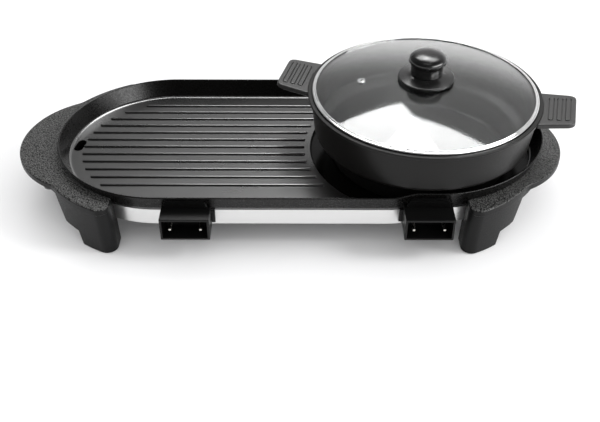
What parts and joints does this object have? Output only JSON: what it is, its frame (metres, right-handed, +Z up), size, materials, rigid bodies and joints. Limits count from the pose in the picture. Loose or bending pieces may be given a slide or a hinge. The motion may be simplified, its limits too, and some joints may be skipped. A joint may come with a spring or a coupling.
{
  "type": "electric grill pan with hot pot",
  "caption": "Long oval electric tabletop grill with a ribbed pan, end handles on stepped legs, lead sockets in front, and a round lidded hot pot lifted in at one end.",
  "frame": {"origin": "middle of the whole footprint, on the surface that the feet stand on", "axes": "+X along the pan towards the pot, +Y from the socket side to the far side, +Z up"},
  "size_m": [0.678, 0.295, 0.1912],
  "materials": {
    "pan_coating": "dark non-stick coating on cast aluminium",
    "pot_coating": "dark non-stick coating on cast aluminium",
    "skirt_steel": "satin stainless steel",
    "dark_steel": "plain dark steel sheet",
    "heater_steel": "heat darkened tube",
    "grained_plastic": "black, finely grained",
    "pot_handle_plastic": "dark grey, satin",
    "rubber_black": "black",
    "screw_steel": "zinc plated",
    "socket_plastic": "black, satin",
    "pin_metal": "nickel plated",
    "ceramic": "unglazed cream ceramic",
    "clear_glass": "clear tempered",
    "bright_steel": "polished stainless steel",
    "gloss_black": "glossy black",
    "silicone": "grey silicone"
  },
  "bodies": {
    "base": {"back_tray_rail": "dark_steel", "bottom_cover": "dark_steel", "cover_screw_1": "screw_steel", "cover_screw_2": "screw_steel", "cover_screw_3": "screw_steel", "cover_screw_4": "screw_steel", "cover_screw_5": "screw_steel", "cover_screw_6": "screw_steel", "front_tray_rail": "dark_steel", "grill_heater": "heater_steel", "grill_pan": "pan_coating", "left_back_foot_pad": "rubber_black", "left_back_handle_screw": "screw_steel", "left_end_handle": "grained_plastic", "left_front_foot_pad": "rubber_black", "left_front_handle_screw": "screw_steel", "left_pin_insulator_1": "ceramic", "left_pin_insulator_2": "ceramic", "left_probe_sleeve": "dark_steel", "left_socket": "socket_plastic", "left_socket_screw_1": "screw_steel", "left_socket_screw_2": "screw_steel", "left_terminal_pin_1": "pin_metal", "left_terminal_pin_2": "pin_metal", "pot_heater": "heater_steel", "right_back_foot_pad": "rubber_black", "right_back_handle_screw": "screw_steel", "right_end_handle": "grained_plastic", "right_front_foot_pad": "rubber_black", "right_front_handle_screw": "screw_steel", "right_pin_insulator_1": "ceramic", "right_pin_insulator_2": "ceramic", "right_probe_sleeve": "dark_steel", "right_socket": "socket_plastic", "right_socket_screw_1": "screw_steel", "right_socket_screw_2": "screw_steel", "right_terminal_pin_1": "pin_metal", "right_terminal_pin_2": "pin_metal", "steel_skirt": "skirt_steel"},
    "grease_tray": {"grease_tray": "dark_steel"},
    "pot": {"pot_body": "pot_coating", "left_pot_handle": "pot_handle_plastic", "left_pot_handle_screw_1": "screw_steel", "left_pot_handle_screw_2": "screw_steel", "right_pot_handle": "pot_handle_plastic", "right_pot_handle_screw_1": "screw_steel", "right_pot_handle_screw_2": "screw_steel"},
    "lid": {"lid_glass": "clear_glass", "lid_rim": "bright_steel", "vent_grommet": "bright_steel", "knob": "gloss_black", "knob_seat": "gloss_black", "knob_lower_seat": "gloss_black", "knob_screw": "screw_steel", "knob_washer": "silicone"}
  },
  "joints": [
    {"name": "grease_tray_slide", "type": "slide", "parent": "base", "child": "grease_tray", "axis": [-1, 0, 0], "range_m": [0, 0.085]},
    {"name": "pot_lift", "type": "slide", "parent": "base", "child": "pot", "axis": [0, 0, 1], "range_m": [0, 0.12]},
    {"name": "lid_lift", "type": "slide", "parent": "pot", "child": "lid", "axis": [0, 0, 1], "range_m": [0, 0.12]}
  ]
}
